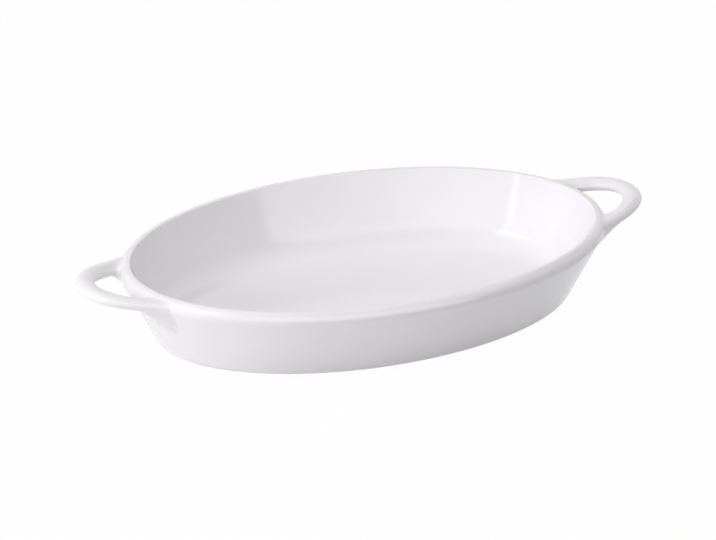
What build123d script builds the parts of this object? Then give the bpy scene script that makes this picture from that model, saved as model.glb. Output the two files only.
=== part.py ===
from build123d import *
import math
import os

# Oval gratin dish: a glazed basin on a bare foot ring, with a loop handle luted on at each end.
# Millimetres. The origin is the centre of the resting plane, +X runs along the length and +Z is up.

# Basin
rim_length = 276.0
rim_width = 181.0
body_height = 44.0
wall_run = 22.0
wall_thickness = 6.2
floor_thickness = 5.5
base_round = 6.0
floor_round = 20.0

# Rim
rim_round = 4.6
rim_land = 0.6
rim_lip_round = 0.8

# Foot ring
foot_height = 1.0
foot_width = 5.0
foot_inset = 1.0
foot_taper = 0.4

# Handles
handle_reach = 21.8
handle_set_in = 28.0
handle_half_span = 29.2
handle_corner_power = 2.12
handle_tip_below_rim = 1.0
handle_root_below_rim = 7.8
bar_width = 10.4
bar_thickness = 6.7
arm_tilt_angle = 15.0

# Handle roots, where each arm widens and runs down the wall as a low fin
root_spread = 5.5
root_spread_start = 1.5
root_spread_end = -8.0
fin_drop = 14.8
fin_start = 0.5
fin_length = 17.5
fin_curve_power = 1.35
fin_tuck_angle = 31.0
sections_per_arm = 18

# Cuts
overrun = 2.0

# Levels
underside_z = foot_height
floor_z = underside_z + floor_thickness
rim_z = underside_z + body_height

# The wall leans out by one angle all round, so that every level of it is an oval
wall_lean = math.atan2(wall_run, body_height)
sharp_rim_angle = math.pi / 2 - wall_lean
sharp_base_angle = math.pi / 2 + wall_lean
rim_overhang = rim_round / math.tan(sharp_rim_angle / 2) - rim_round
base_round_inset = base_round / math.tan(sharp_base_angle / 2)


def oval(inset, z):
    """Face bounded by the rim's outer oval, drawn in by inset, at height z."""
    plane = Plane.XY.offset(z)
    return plane * Ellipse(rim_length / 2 - inset, rim_width / 2 - inset)


def outer_inset(z):
    """How far the sharp-cornered outer wall stands inside the rounded rim at height z."""
    return wall_run * (rim_z - z) / body_height - rim_overhang


def lowest_edges(solid):
    """Edges of the solid's lowest horizontal face."""
    return solid.faces().sort_by(Axis.Z)[0].edges()


def highest_edges(solid):
    """Edges of the solid's highest horizontal face."""
    return solid.faces().sort_by(Axis.Z)[-1].edges()


def basin_block():
    """The basin as if it were solid clay: outer wall, base round and rim round."""
    bottom = oval(outer_inset(underside_z), underside_z)
    top = oval(outer_inset(rim_z), rim_z)
    block = loft([bottom, top], ruled=True)
    block = fillet(lowest_edges(block), base_round)
    return fillet(highest_edges(block), rim_round)


def cavity():
    """The space inside the dish, carried past the rim, with its rounded floor corner."""
    floor_inset = outer_inset(floor_z) + wall_thickness
    mouth_angle = math.pi / 2 + wall_lean
    mouth_inset = rim_round + rim_land + rim_lip_round / math.tan(mouth_angle / 2)
    inner_slope = (floor_inset - mouth_inset) / (rim_z - floor_z)
    bottom = oval(floor_inset, floor_z)
    top = oval(mouth_inset - inner_slope * overrun, rim_z + overrun)
    space = loft([bottom, top], ruled=True)
    return fillet(lowest_edges(space), floor_round)


def make_bowl(block):
    """Basin with its floor, leaning wall and rounded rim."""
    basin = block - cavity()
    rim_face = basin.faces().filter_by(Axis.Z).sort_by(Axis.Z)[-1]
    lip = rim_face.edges().sort_by(SortBy.LENGTH)[0]
    return fillet(lip, rim_lip_round)


def make_foot_ring():
    """Bare ring that the dish stands on, set in from the base round, with tapered sides."""
    outer = outer_inset(underside_z) + base_round_inset + foot_inset
    inner = outer + foot_width
    disc = loft([oval(outer + foot_taper, 0), oval(outer, foot_height)], ruled=True)
    recess = loft([oval(inner - foot_taper, 0), oval(inner, foot_height)], ruled=True)
    return disc - recess


def centreline_point(turn):
    """Point on the right handle's centreline; turn is 0 at the tip and a quarter turn at a root."""
    root_x = rim_length / 2 - handle_set_in
    tip_x = rim_length / 2 + handle_reach
    root_z = rim_z - handle_root_below_rim
    tip_z = rim_z - handle_tip_below_rim
    power = 2 / handle_corner_power
    along = abs(math.cos(turn)) ** power
    across = math.copysign(abs(math.sin(turn)) ** power, turn)
    x = root_x + (tip_x - root_x) * along
    z = root_z + (tip_z - root_z) * along
    return Vector(x, handle_half_span * across, z)


def blend(value, start, end):
    """Smooth step from 0 at start to 1 at end."""
    share = min(1.0, max(0.0, (value - start) / (end - start)))
    return (1 - math.cos(math.pi * share)) / 2


def handle_section(index):
    """Oval section of the right handle at one station; index is 0 at the tip."""
    turn_step = math.pi / 2 / (sections_per_arm + 1)
    point = centreline_point(index * turn_step)
    ahead = centreline_point((index + 0.5) * turn_step)
    behind = centreline_point((index - 0.5) * turn_step)
    heading = Vector(ahead.X - behind.X, ahead.Y - behind.Y, 0).normalized()
    past_rim = point.X - rim_length / 2
    width = bar_width + root_spread * blend(past_rim, root_spread_start, root_spread_end)
    into_fin = max(0.0, (fin_start - past_rim) / fin_length)
    drop = fin_drop * into_fin**fin_curve_power
    outward = Vector(heading.Y, -heading.X, 0)
    upward = Vector(0, 0, 1)
    tuck = math.radians(fin_tuck_angle) * min(1.0, into_fin)
    lean = tuck - math.radians(arm_tilt_angle) * outward.Y**2
    across = outward * math.cos(lean) - upward * math.sin(lean)
    down = -outward * math.sin(lean) - upward * math.cos(lean)
    plane = Plane(origin=point + down * drop / 2, x_dir=across, z_dir=heading)
    return plane * Ellipse(width / 2, (bar_thickness + drop) / 2)


def make_handle(block):
    """Right handle: one loop from root to root, trimmed to the outside of the basin."""
    sections = []
    for index in range(-sections_per_arm, sections_per_arm + 1):
        sections.append(handle_section(index))
    return loft(sections) - block


def main():
    os.makedirs("parts", exist_ok=True)
    block = basin_block()
    right_handle = make_handle(block)
    parts = {
        "bowl": make_bowl(block),
        "foot_ring": make_foot_ring(),
        "right_handle": right_handle,
        "left_handle": mirror(right_handle, about=Plane.YZ),
    }
    for name, shape in parts.items():
        shape.label = name
        export_step(shape, f"parts/{name}.step")
        print(name, round(shape.volume), "mm3")


main()
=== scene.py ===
import math

import bpy
from mathutils import Matrix, Vector


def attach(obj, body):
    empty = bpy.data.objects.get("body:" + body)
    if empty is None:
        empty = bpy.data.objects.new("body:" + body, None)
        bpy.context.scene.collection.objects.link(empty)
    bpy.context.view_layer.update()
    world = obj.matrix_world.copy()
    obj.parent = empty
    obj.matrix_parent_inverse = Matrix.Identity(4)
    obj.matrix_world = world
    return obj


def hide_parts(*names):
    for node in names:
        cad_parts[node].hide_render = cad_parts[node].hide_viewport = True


# The looks of an oval glazed gratin dish. The scene is in metres: a length in millimetres is
# written times MM. The lengths of the studio are in metres.

MM = 0.001

# Basin
RIM_A = 138.0 * MM
RIM_B = 90.5 * MM
UNDERSIDE_Z = 1.0 * MM
FLOOR_Z = 6.5 * MM
RIM_Z = 45.0 * MM
WALL_RUN = 22.0 * MM
WALL_RISE = 44.0 * MM
WALL_THICKNESS = 6.2 * MM
BASE_ROUND = 6.0 * MM
FLOOR_ROUND = 20.0 * MM
RIM_ROUND = 4.6 * MM
RIM_LAND = 0.6 * MM
LIP_ROUND = 0.8 * MM

# The wall's lean, and how far its sharp top corner would stand outside the rounded rim
LEAN = math.atan2(WALL_RUN, WALL_RISE)
RIM_OVERHANG = RIM_ROUND / math.tan((math.pi / 2 - LEAN) / 2) - RIM_ROUND

# The basin's mesh: points round an oval, steps over each stretch of the section, and the ovals
# that close the underside and the floor, as shares of the last one
OVAL_SEGMENTS = 384
BASE_STEPS = 16
WALL_STEPS = 24
RIM_STEPS = 28
LAND_STEPS = 4
LIP_STEPS = 10
FLOOR_ROUND_STEPS = 28
DISC_SHARES = (0.995, 0.98, 0.9, 0.7, 0.45, 0.2)

# Foot ring
FOOT_WIDTH = 5.0 * MM
FOOT_INSET = 1.0 * MM
FOOT_TAPER = 0.4 * MM
FOOT_EDGE_ROUND = 0.25 * MM
FOOT_OVERLAP = 0.2 * MM
FOOT_STEPS = 8

# Handle bar; its tilt is in degrees
LOOP_ROOT_X = 110.0 * MM
LOOP_TIP_X = 159.8 * MM
LOOP_ROOT_Z = 37.2 * MM
LOOP_TIP_Z = 44.0 * MM
HALF_SPAN = 29.2 * MM
CORNER_POWER = 2.12
BAR_WIDTH = 10.4 * MM
BAR_THICKNESS = 6.7 * MM
BAR_TILT = 15.0
BAR_SEGMENTS = 96
BAR_RINGS = 110
BAR_TURN_STEP = 0.005

# Handle roots: the bar's skin runs from ROOT_START_X to a footprint on the outer wall
ROOT_START_X = 140.5 * MM
ROOT_RINGS = 30
ROOT_SINK = 0.35 * MM
WALL_STEP = 0.05 * MM
ROW_STEP = 0.1
# Sixteen points once round a footprint, from the side away from the finger hole, over the top.
# Each is, in millimetres but for the angle: distance across the dish, distance down the wall
# from the rim's top, length of the flare there, the angle in degrees at which the flare meets
# the wall, and how far the skin keeps to the bar's heading before it turns to the flare.
FOOTPRINT = [
    (35.9, 9.5, 6.5, 10.0, 11.0),
    (35.4, 5.8, 6.5, 4.0, 11.0),
    (33.4, 3.6, 6.5, 0.0, 11.0),
    (30.4, 2.9, 6.0, 0.0, 10.0),
    (27.2, 2.7, 5.5, 0.0, 10.0),
    (24.0, 2.8, 5.0, 0.0, 10.0),
    (20.6, 3.3, 5.0, 0.0, 10.0),
    (17.6, 5.2, 7.0, 0.0, 10.0),
    (16.5, 8.8, 9.0, 4.0, 10.0),
    (17.0, 13.4, 11.0, 8.0, 10.0),
    (18.2, 18.6, 15.0, 12.0, 12.0),
    (19.3, 24.8, 24.0, 12.0, 15.0),
    (23.2, 30.1, 36.0, 2.0, 18.0),
    (28.4, 28.6, 28.0, 6.0, 18.0),
    (32.8, 20.6, 17.0, 12.0, 15.0),
    (35.2, 14.2, 9.0, 12.0, 12.0),
]

# Camera, placed as the photograph's was
AIM = Vector((-0.188, 10.058, 20.722)) * MM
TO_CAMERA = Vector((-0.3648, -0.83084, 0.42026))
CAMERA_UP = Vector((0.16896, 0.3848, 0.9074))
CAMERA_DISTANCE = 1949.5 * MM
LENS = 179.441
SENSOR = 36.0
CLIP_START = 0.1
CLIP_END = 100.0


# Basin and foot ring


def outer_inset(z):
    """How far the sharp-cornered outer wall stands inside the rim's outline at height z."""
    return WALL_RUN * (RIM_Z - z) / WALL_RISE - RIM_OVERHANG


def rounded(corner, before, after, radius, steps):
    """Points of the round that replaces a corner of an (inset, z) outline."""
    tip = Vector(corner)
    to_before = (Vector(before) - tip).normalized()
    to_after = (Vector(after) - tip).normalized()
    half = to_before.angle(to_after) / 2
    bisector = (to_before + to_after).normalized()
    centre = tip + bisector * radius / math.sin(half)
    start = tip + to_before * radius / math.tan(half) - centre
    turn = (tip + to_after * radius / math.tan(half) - centre).angle_signed(start)
    points = []
    for i in range(steps + 1):
        angle = turn * i / steps
        cos, sin = math.cos(angle), math.sin(angle)
        offset = Vector((start.x * cos - start.y * sin, start.x * sin + start.y * cos))
        points.append(centre + offset)
    return points


def stretch(start, end, steps):
    """Points strictly between two outline points, closest together near the two ends."""
    points = []
    for i in range(1, steps):
        share = (1 - math.cos(math.pi * i / steps)) / 2
        points.append(Vector(start).lerp(Vector(end), share))
    return points


def basin_outline():
    """The basin's section from the underside round the rim to the floor, in (inset, z)."""
    base_corner = (outer_inset(UNDERSIDE_Z), UNDERSIDE_Z)
    rim_corner = (outer_inset(RIM_Z), RIM_Z)
    lip_reach = LIP_ROUND / math.tan((math.pi / 2 + LEAN) / 2)
    lip_corner = (RIM_ROUND + RIM_LAND + lip_reach, RIM_Z)
    floor_corner = (outer_inset(FLOOR_Z) + WALL_THICKNESS, FLOOR_Z)
    underside = (RIM_B, UNDERSIDE_Z)
    floor = (RIM_B, FLOOR_Z)
    base = rounded(base_corner, underside, rim_corner, BASE_ROUND, BASE_STEPS)
    rim = rounded(rim_corner, base_corner, lip_corner, RIM_ROUND, RIM_STEPS)
    lip = rounded(lip_corner, rim_corner, floor_corner, LIP_ROUND, LIP_STEPS)
    sweep = rounded(floor_corner, lip_corner, floor, FLOOR_ROUND, FLOOR_ROUND_STEPS)
    wall = stretch(base[-1], rim[0], WALL_STEPS)
    land = stretch(rim[-1], lip[0], LAND_STEPS)
    inside = stretch(lip[-1], sweep[0], WALL_STEPS)
    return base + wall + rim + land + lip + inside + sweep


def foot_outline():
    """The foot ring's section, down its inner side, across the land and up its outer side."""
    base_reach = BASE_ROUND / math.tan((math.pi / 2 + LEAN) / 2)
    outer = outer_inset(UNDERSIDE_Z) + base_reach + FOOT_INSET
    inner = outer + FOOT_WIDTH
    top = UNDERSIDE_Z + FOOT_OVERLAP
    outer_land = (outer + FOOT_TAPER, 0.0)
    inner_land = (inner - FOOT_TAPER, 0.0)
    outer_top = Vector((outer, top))
    inner_top = Vector((inner, top))
    inner_round = rounded(inner_land, inner_top, outer_land, FOOT_EDGE_ROUND, FOOT_STEPS)
    outer_round = rounded(outer_land, inner_land, outer_top, FOOT_EDGE_ROUND, FOOT_STEPS)
    land = stretch(inner_round[-1], outer_round[0], FOOT_STEPS)
    return [inner_top] + inner_round + land + outer_round + [outer_top]


def ovals(outline):
    """Half length, half width and height of the oval through each point of an outline."""
    return [(RIM_A - inset, RIM_B - inset, z) for inset, z in outline]


def shrunk(ring, shares):
    """Copies of an oval drawn in towards its centre."""
    a, b, z = ring
    return [(a * share, b * share, z) for share in shares]


def oval_mesh(rings):
    """Vertices and faces of a skin through a list of ovals; it faces out where they go up."""
    verts = []
    faces = []
    for a, b, z in rings:
        for i in range(OVAL_SEGMENTS):
            angle = 2 * math.pi * i / OVAL_SEGMENTS
            verts.append((a * math.cos(angle), b * math.sin(angle), z))
    for ring in range(len(rings) - 1):
        here = ring * OVAL_SEGMENTS
        there = here + OVAL_SEGMENTS
        for i in range(OVAL_SEGMENTS):
            j = (i + 1) % OVAL_SEGMENTS
            faces.append((here + i, here + j, there + j, there + i))
    return verts, faces


def make_object(name, verts, faces, sharp_edges=()):
    """A smooth-shaded mesh object; sharp_edges are pairs of vertex indices."""
    mesh = bpy.data.meshes.new(name)
    mesh.from_pydata(verts, [], faces)
    mesh.validate()
    mesh.shade_smooth()
    if sharp_edges:
        wanted = {tuple(sorted(pair)) for pair in sharp_edges}
        for edge in mesh.edges:
            if tuple(sorted(edge.vertices)) in wanted:
                edge.use_edge_sharp = True
    obj = bpy.data.objects.new(name, mesh)
    bpy.context.collection.objects.link(obj)
    return obj


def make_basin():
    """The basin, closed at the middle of its underside and of its floor."""
    rings = ovals(basin_outline())
    underside = shrunk(rings[0], reversed(DISC_SHARES))
    floor = shrunk(rings[-1], DISC_SHARES)
    verts, faces = oval_mesh(underside + rings + floor)
    last = len(verts) - OVAL_SEGMENTS
    verts += [(0.0, 0.0, UNDERSIDE_Z), (0.0, 0.0, FLOOR_Z)]
    below, above = len(verts) - 2, len(verts) - 1
    for i in range(OVAL_SEGMENTS):
        j = (i + 1) % OVAL_SEGMENTS
        faces.append((below, j, i))
        faces.append((above, last + i, last + j))
    return make_object("basin", verts, faces)


def make_foot():
    """The foot ring, let a little way into the underside."""
    verts, faces = oval_mesh(ovals(foot_outline()))
    return make_object("foot_band", verts, faces)


# Handles


def centreline(turn):
    """Point on the right loop; turn is 0 at the tip and grows towards the +Y root."""
    power = 2 / CORNER_POWER
    along = math.cos(turn) ** power
    across = math.copysign(abs(math.sin(turn)) ** power, turn)
    x = LOOP_ROOT_X + (LOOP_TIP_X - LOOP_ROOT_X) * along
    z = LOOP_ROOT_Z + (LOOP_TIP_Z - LOOP_ROOT_Z) * along
    return Vector((x, HALF_SPAN * across, z))


def bar_ring(turn):
    """The bar's oval section at one place on the loop, and the way that the bar runs there."""
    point = centreline(turn)
    heading = centreline(turn + BAR_TURN_STEP) - centreline(turn - BAR_TURN_STEP)
    heading.normalize()
    outward = Vector((heading.y, -heading.x, 0.0)).normalized()
    tilt = math.radians(BAR_TILT) * outward.y**2
    upward = Vector((0.0, 0.0, 1.0))
    wide = (outward * math.cos(tilt) + upward * math.sin(tilt)) * BAR_WIDTH / 2
    thick = (upward * math.cos(tilt) - outward * math.sin(tilt)) * BAR_THICKNESS / 2
    ring = []
    for i in range(BAR_SEGMENTS):
        angle = 2 * math.pi * i / BAR_SEGMENTS
        ring.append(point + wide * math.cos(angle) + thick * math.sin(angle))
    return ring, heading


def wall_point(across, down):
    """Point on the basin's outer skin at +X, down being measured along it from the rim's top."""
    bend = RIM_ROUND * (math.pi / 2 + LEAN)
    angle = math.pi / 2 - min(down, bend) / RIM_ROUND
    beyond = max(0.0, down - bend)
    inset = RIM_ROUND * (1 - math.cos(angle)) + beyond * math.sin(LEAN)
    z = RIM_Z - RIM_ROUND * (1 - math.sin(angle)) - beyond * math.cos(LEAN)
    x = (RIM_A - inset) * math.sqrt(1 - (across / (RIM_B - inset)) ** 2)
    return Vector((x, across, z))


def wall_normal(across, down):
    """The outward direction of the basin's skin at a wall point."""
    sideways = wall_point(across + WALL_STEP, down) - wall_point(across - WALL_STEP, down)
    downward = wall_point(across, down + WALL_STEP) - wall_point(across, down - WALL_STEP)
    return downward.cross(sideways).normalized()


def footprint_at(place):
    """A row of the footprint's table or, between two rows, of the smooth curve through them."""
    count = len(FOOTPRINT)
    row = math.floor(place)
    t = place - row
    p0, p1, p2, p3 = (FOOTPRINT[(row + k) % count] for k in (-1, 0, 1, 2))
    values = []
    for a, b, c, d in zip(p0, p1, p2, p3):
        bend = (2 * a - 5 * b + 4 * c - d) * t + (3 * b - a - 3 * c + d) * t * t
        values.append(b + 0.5 * t * (c - a + bend))
    return values


def hermite(start, departure, end, arrival, t):
    """Point at t, from 0 to 1, on the curve between two points with a set slope at each."""
    from_start = (2 * t**3 - 3 * t**2 + 1) * start
    from_end = (3 * t**2 - 2 * t**3) * end
    leave = (t**3 - 2 * t**2 + t) * departure
    arrive = (t**3 - t**2) * arrival
    return from_start + leave + from_end + arrive


def root_rings(ring, heading):
    """Rings that carry the bar's skin on to its footprint on the wall, and a little way in."""
    rows_per_segment = len(FOOTPRINT) / BAR_SEGMENTS
    rings = [[] for _ in range(ROOT_RINGS + 1)]
    for i, start in enumerate(ring):
        place = i * rows_per_segment
        across, down, flare, angle, pull = footprint_at(place)
        end = wall_point(across * MM, down * MM)
        normal = wall_normal(across * MM, down * MM)
        ahead = footprint_at(place + ROW_STEP)
        behind = footprint_at(place - ROW_STEP)
        along = wall_point(ahead[0] * MM, ahead[1] * MM)
        along -= wall_point(behind[0] * MM, behind[1] * MM)
        away = along.cross(normal).normalized()
        lean = math.radians(angle)
        arrival = (away * math.cos(lean) - normal * math.sin(lean)) * flare * MM
        departure = heading * pull * MM
        for k in range(ROOT_RINGS):
            t = (k + 1) / ROOT_RINGS
            rings[k].append(hermite(start, departure, end, arrival, t))
        rings[-1].append(end - normal * ROOT_SINK - away * ROOT_SINK)
    return rings


def make_handle(name, side):
    """One loop handle with its two roots; side is 1 at +X and -1 at -X."""
    share = (ROOT_START_X - LOOP_ROOT_X) / (LOOP_TIP_X - LOOP_ROOT_X)
    reach = math.acos(share ** (CORNER_POWER / 2))
    bar = []
    for k in range(BAR_RINGS + 1):
        bar.append(bar_ring(reach * (2 * k / BAR_RINGS - 1))[0])
    far_root = root_rings(*bar_ring(reach))
    near_root = []
    for ring in far_root:
        near_root.append([Vector((p.x, -p.y, p.z)) for p in ring])
    rings = near_root[::-1] + bar + far_root
    verts = []
    for ring in rings:
        verts += [(side * p.x, p.y, p.z) for p in ring]
    faces = []
    for r in range(len(rings) - 1):
        here = r * BAR_SEGMENTS
        there = here + BAR_SEGMENTS
        for i in range(BAR_SEGMENTS):
            j = (i + 1) % BAR_SEGMENTS
            face = (here + i, there + i, there + j, here + j)
            faces.append(face if side > 0 else face[::-1])
    # A crease where each root goes into the wall
    sharp = []
    for r in (1, len(rings) - 2):
        for i in range(BAR_SEGMENTS):
            j = (i + 1) % BAR_SEGMENTS
            sharp.append((r * BAR_SEGMENTS + i, r * BAR_SEGMENTS + j))
    return make_object(name, verts, faces, sharp)


# Materials: colours, and for each noise its scale and detail. A span is the stretch of a
# noise's values over which its effect grows from nothing to full.

WHITE = (1.0, 1.0, 1.0, 1.0)
GLAZE_THIN = (0.886, 0.868, 0.895, 1.0)
GLAZE_POOLED = (0.860, 0.843, 0.869, 1.0)
GLAZE_ROUGHNESS = (0.06, 0.10)
GLAZE_IOR = 1.5
GLAZE_SPAN = (0.3, 0.7)
POOLING_NOISE = (14.0, 3.0)
SHEEN_NOISE = (46.0, 4.0)
WAVE_NOISE = (22.0, 1.0)
WAVE_HEIGHT = 0.15 * MM
PEEL_NOISE = (420.0, 1.0)
PEEL_HEIGHT = 0.010 * MM
GLAZE_BUMP = 0.35

CLAY_PALE = (0.70, 0.67, 0.62, 1.0)
CLAY_DARK = (0.60, 0.57, 0.52, 1.0)
CLAY_RUBBED = (0.42, 0.41, 0.40, 1.0)
CLAY_ROUGHNESS = (0.72, 0.9)
GRAIN_NOISE = (900.0, 4.0)
GRAIN_SPAN = (0.35, 0.65)
GRAIN_HEIGHT = 0.05 * MM
GRAIN_BUMP = 0.5
RUB_NOISE = (60.0, 6.0)
RUB_SPAN = (0.55, 0.75)
RUB_SHARE = 0.6


def new_material(name):
    """An empty node material with its output; returns the material, nodes, links and output."""
    material = bpy.data.materials.new(name)
    material.use_nodes = True
    tree = material.node_tree
    tree.nodes.clear()
    output = tree.nodes.new("ShaderNodeOutputMaterial")
    return material, tree.nodes, tree.links, output


def noise(nodes, links, coords, scale, detail):
    node = nodes.new("ShaderNodeTexNoise")
    node.inputs["Scale"].default_value = scale
    node.inputs["Detail"].default_value = detail
    links.new(coords, node.inputs["Vector"])
    return node.outputs["Fac"]


def mix_colours(nodes, links, share, first, second):
    node = nodes.new("ShaderNodeMix")
    node.data_type = "RGBA"
    links.new(share, node.inputs["Factor"])
    for socket, value in ((node.inputs["A"], first), (node.inputs["B"], second)):
        if isinstance(value, tuple):
            socket.default_value = value
        else:
            links.new(value, socket)
    return node.outputs["Result"]


def mapped(nodes, links, value, low, high, to_low, to_high, course="LINEAR"):
    """The value taken from one range to another, and kept inside it."""
    node = nodes.new("ShaderNodeMapRange")
    node.interpolation_type = course
    node.inputs["From Min"].default_value = low
    node.inputs["From Max"].default_value = high
    node.inputs["To Min"].default_value = to_low
    node.inputs["To Max"].default_value = to_high
    links.new(value, node.inputs["Value"])
    return node.outputs["Result"]


def calculated(nodes, links, operation, *values):
    """The result of one maths node; each value is a number or another node's output."""
    node = nodes.new("ShaderNodeMath")
    node.operation = operation
    for socket, value in zip(node.inputs, values):
        if isinstance(value, float):
            socket.default_value = value
        else:
            links.new(value, socket)
    return node.outputs["Value"]


def bumped(nodes, links, height, distance, strength, below=None):
    node = nodes.new("ShaderNodeBump")
    node.inputs["Distance"].default_value = distance
    node.inputs["Strength"].default_value = strength
    links.new(height, node.inputs["Height"])
    if below is not None:
        links.new(below, node.inputs["Normal"])
    return node.outputs["Normal"]


def glaze_material():
    """White glaze: a glassy coat with faint pooling, waviness and fine orange peel."""
    material, nodes, links, output = new_material("white_glaze")
    coords = nodes.new("ShaderNodeTexCoord").outputs["Object"]
    shader = nodes.new("ShaderNodeBsdfPrincipled")
    pools = noise(nodes, links, coords, *POOLING_NOISE)
    pooling = mapped(nodes, links, pools, *GLAZE_SPAN, 0.0, 1.0)
    tint = mix_colours(nodes, links, pooling, GLAZE_THIN, GLAZE_POOLED)
    links.new(tint, shader.inputs["Base Color"])
    sheen = noise(nodes, links, coords, *SHEEN_NOISE)
    roughness = mapped(nodes, links, sheen, *GLAZE_SPAN, *GLAZE_ROUGHNESS)
    links.new(roughness, shader.inputs["Roughness"])
    waves = noise(nodes, links, coords, *WAVE_NOISE)
    peel = noise(nodes, links, coords, *PEEL_NOISE)
    wavy = bumped(nodes, links, waves, WAVE_HEIGHT, GLAZE_BUMP)
    skin = bumped(nodes, links, peel, PEEL_HEIGHT, GLAZE_BUMP, wavy)
    links.new(skin, shader.inputs["Normal"])
    shader.inputs["IOR"].default_value = GLAZE_IOR
    links.new(shader.outputs["BSDF"], output.inputs["Surface"])
    return material


def clay_material():
    """Bare fired clay: matt, slightly warm, with grain and rubbed grey patches."""
    material, nodes, links, output = new_material("bare_clay")
    coords = nodes.new("ShaderNodeTexCoord").outputs["Object"]
    shader = nodes.new("ShaderNodeBsdfPrincipled")
    grains = noise(nodes, links, coords, *GRAIN_NOISE)
    grain = mapped(nodes, links, grains, *GRAIN_SPAN, 0.0, 1.0)
    clay = mix_colours(nodes, links, grain, CLAY_PALE, CLAY_DARK)
    rubs = noise(nodes, links, coords, *RUB_NOISE)
    rubbed = mapped(nodes, links, rubs, *RUB_SPAN, 0.0, RUB_SHARE)
    colour = mix_colours(nodes, links, rubbed, clay, CLAY_RUBBED)
    links.new(colour, shader.inputs["Base Color"])
    roughness = mapped(nodes, links, grain, 0.0, 1.0, *CLAY_ROUGHNESS)
    links.new(roughness, shader.inputs["Roughness"])
    skin = bumped(nodes, links, grain, GRAIN_HEIGHT, GRAIN_BUMP)
    links.new(skin, shader.inputs["Normal"])
    links.new(shader.outputs["BSDF"], output.inputs["Surface"])
    return material


# Studio

FLOOR_SIZE = 30.0
FLOOR_COLOUR = (0.85, 0.85, 0.85, 1.0)
# How much of its plain white the floor shows where it is seen, the rest being its own shading
FLOOR_GLOW = 0.97
WORLD_LIGHT = 0.1
# Each lamp: name, place, width, height and power in watts. They all face the dish, and gloss
# shows the patches below in their stead.
LAMPS = [
    ("key_left", (-1.70, 0.10, 1.05), 2.1, 2.0, 19.5),
    ("low_left", (-1.9, -0.2, 0.5), 1.6, 0.8, 8.6),
    ("front_left", (-1.4, -1.3, 1.1), 1.6, 1.2, 9.8),
    ("right", (1.9, 0.1, 1.1), 1.6, 1.2, 8.0),
    ("top", (0.0, 0.0, 2.0), 2.0, 2.0, 13.5),
    ("top_right", (1.1, 0.0, 1.7), 1.4, 1.4, 4.9),
]
# What only gloss shows: a white screen in front of the dish, the softbox on the left with its
# two brighter borders, and the dark end of the studio behind the dish. Each is: name, glow
# added to the plain white, and its left, right, lower and upper edge. An edge is the two angles
# in degrees between which the patch goes from nothing to its full glow. The first two edges
# are measured round the dish from the front, and grow towards the right.
REFLECTED = [
    ("screen", 2.2, (-75.0, -15.0), (40.0, 34.0), (-10.0, -5.0), (66.0, 44.0)),
    ("softbox", 0.6, (-135.0, -115.0), (-62.0, -66.0), (-10.0, -5.0), (60.0, 56.0)),
    ("side_border", 1.5, (-69.5, -67.0), (-61.5, -64.0), (4.0, 8.0), (52.0, 46.0)),
    ("top_border", 2.4, (-106.0, -88.0), (-62.0, -66.0), (39.0, 43.0), (58.0, 53.0)),
    ("dark_end", -0.9, (104.0, 114.0), (146.0, 138.0), (30.0, 37.0), (54.0, 46.0)),
]


def seen_directly(nodes, links):
    """1 for rays from the camera, off gloss or through glass, 0 for rays that carry light."""
    rays = nodes.new("ShaderNodeLightPath").outputs
    either = calculated(nodes, links, "MAXIMUM", rays["Is Camera Ray"], rays["Is Glossy Ray"])
    return calculated(nodes, links, "MAXIMUM", either, rays["Is Transmission Ray"])


def make_floor():
    """A plain pale floor that looks near white but keeps the dish's soft shadow."""
    half = FLOOR_SIZE / 2
    corners = [(-half, -half, 0.0), (half, -half, 0.0), (half, half, 0.0), (-half, half, 0.0)]
    floor = make_object("floor", corners, [(0, 1, 2, 3)])
    material, nodes, links, output = new_material("pale_floor")
    diffuse = nodes.new("ShaderNodeBsdfDiffuse")
    diffuse.inputs["Color"].default_value = FLOOR_COLOUR
    glow = nodes.new("ShaderNodeEmission")
    glow.inputs["Color"].default_value = WHITE
    glow.inputs["Strength"].default_value = 1.0
    share = mapped(nodes, links, seen_directly(nodes, links), 0.0, 1.0, 0.0, FLOOR_GLOW)
    mix = nodes.new("ShaderNodeMixShader")
    links.new(share, mix.inputs["Fac"])
    links.new(diffuse.outputs["BSDF"], mix.inputs[1])
    links.new(glow.outputs["Emission"], mix.inputs[2])
    links.new(mix.outputs["Shader"], output.inputs["Surface"])
    floor.data.materials.append(material)


def soft_edge(nodes, links, value, none, full):
    """0 where value is at none or beyond, 1 where it is at full or beyond, smooth between."""
    if none < full:
        return mapped(nodes, links, value, none, full, 0.0, 1.0, "SMOOTHSTEP")
    return mapped(nodes, links, value, full, none, 1.0, 0.0, "SMOOTHSTEP")


def reflected_glow(nodes, links):
    """What the reflected patches add in the direction that a ray off gloss takes."""
    parts = nodes.new("ShaderNodeSeparateXYZ")
    links.new(nodes.new("ShaderNodeTexCoord").outputs["Generated"], parts.inputs["Vector"])
    forward = calculated(nodes, links, "MULTIPLY", parts.outputs["Y"], -1.0)
    turn = calculated(nodes, links, "ARCTAN2", parts.outputs["X"], forward)
    off_gloss = nodes.new("ShaderNodeLightPath").outputs["Is Glossy Ray"]
    total = 0.0
    for _, glow, left, right, lower, upper in REFLECTED:
        shape = off_gloss
        for edge in (left, right):
            none, full = (math.radians(angle) for angle in edge)
            share = soft_edge(nodes, links, turn, none, full)
            shape = calculated(nodes, links, "MULTIPLY", shape, share)
        for edge in (lower, upper):
            none, full = (math.sin(math.radians(angle)) for angle in edge)
            share = soft_edge(nodes, links, parts.outputs["Z"], none, full)
            shape = calculated(nodes, links, "MULTIPLY", shape, share)
        total = calculated(nodes, links, "MULTIPLY_ADD", shape, glow, total)
    return total


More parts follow.
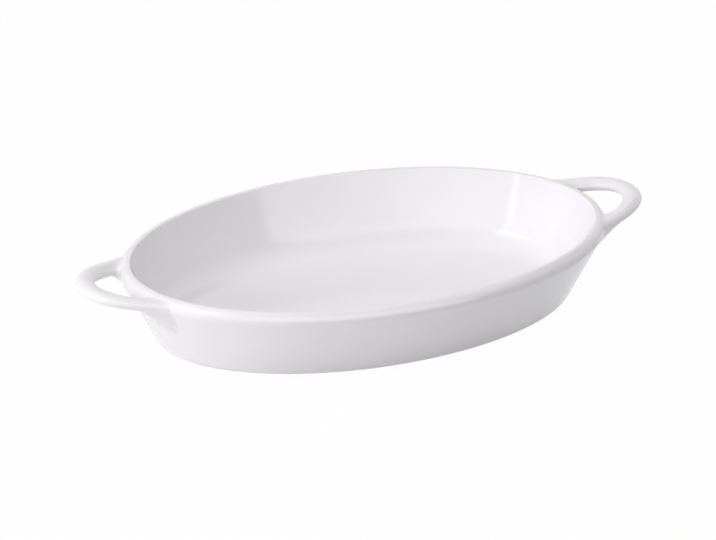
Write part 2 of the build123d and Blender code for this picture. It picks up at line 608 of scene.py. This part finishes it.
def make_world():
    """Even pale light from all round, seen as plain white, with the patches for gloss."""
    world = bpy.data.worlds.new("studio")
    bpy.context.scene.world = world
    world.use_nodes = True
    nodes, links = world.node_tree.nodes, world.node_tree.links
    nodes.clear()
    output = nodes.new("ShaderNodeOutputWorld")
    background = nodes.new("ShaderNodeBackground")
    background.inputs["Color"].default_value = WHITE
    plain = mapped(nodes, links, seen_directly(nodes, links), 0.0, 1.0, WORLD_LIGHT, 1.0)
    strength = calculated(nodes, links, "ADD", plain, reflected_glow(nodes, links))
    links.new(strength, background.inputs["Strength"])
    links.new(background.outputs["Background"], output.inputs["Surface"])


def make_lamps():
    """Soft rectangular lamps round the dish, hidden from gloss."""
    for name, place, width, height, power in LAMPS:
        data = bpy.data.lights.new(name, "AREA")
        data.shape = "RECTANGLE"
        data.size = width
        data.size_y = height
        data.energy = power
        lamp = bpy.data.objects.new(name, data)
        lamp.location = place
        lamp.rotation_euler = (-Vector(place)).to_track_quat("-Z", "Y").to_euler()
        lamp.visible_glossy = False
        bpy.context.collection.objects.link(lamp)


def make_camera():
    """The camera at the photograph's place and angle."""
    back = TO_CAMERA.normalized()
    right = CAMERA_UP.cross(back).normalized()
    up = back.cross(right)
    data = bpy.data.cameras.new("camera")
    data.lens = LENS
    data.sensor_width = SENSOR
    data.clip_start = CLIP_START
    data.clip_end = CLIP_END
    camera = bpy.data.objects.new("camera", data)
    camera.matrix_world = Matrix.Translation(AIM + back * CAMERA_DISTANCE) @ Matrix(
        (
            (right.x, up.x, back.x, 0.0),
            (right.y, up.y, back.y, 0.0),
            (right.z, up.z, back.z, 0.0),
            (0.0, 0.0, 0.0, 1.0),
        )
    )
    bpy.context.collection.objects.link(camera)
    bpy.context.scene.camera = camera


# Scene

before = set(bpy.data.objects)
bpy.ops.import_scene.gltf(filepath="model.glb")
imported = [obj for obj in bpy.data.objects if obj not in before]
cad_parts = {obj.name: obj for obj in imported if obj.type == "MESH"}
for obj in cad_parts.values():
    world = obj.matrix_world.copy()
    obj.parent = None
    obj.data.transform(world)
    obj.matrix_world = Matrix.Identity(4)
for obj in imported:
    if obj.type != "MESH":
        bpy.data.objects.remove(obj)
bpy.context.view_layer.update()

make_camera()
glaze = glaze_material()
clay = clay_material()
dressed = [
    (make_basin(), "bowl", glaze, "glaze"),
    (make_foot(), "foot_ring", clay, "bare_clay"),
    (make_handle("handle_right", 1), "right_handle", glaze, "glaze"),
    (make_handle("handle_left", -1), "left_handle", glaze, "glaze"),
]
for piece, node, material, slot in dressed:
    piece.data.materials.append(material)
    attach(piece, "root")
    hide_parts(node)

make_floor()
make_world()
make_lamps()
bpy.context.scene.view_settings.view_transform = "Standard"
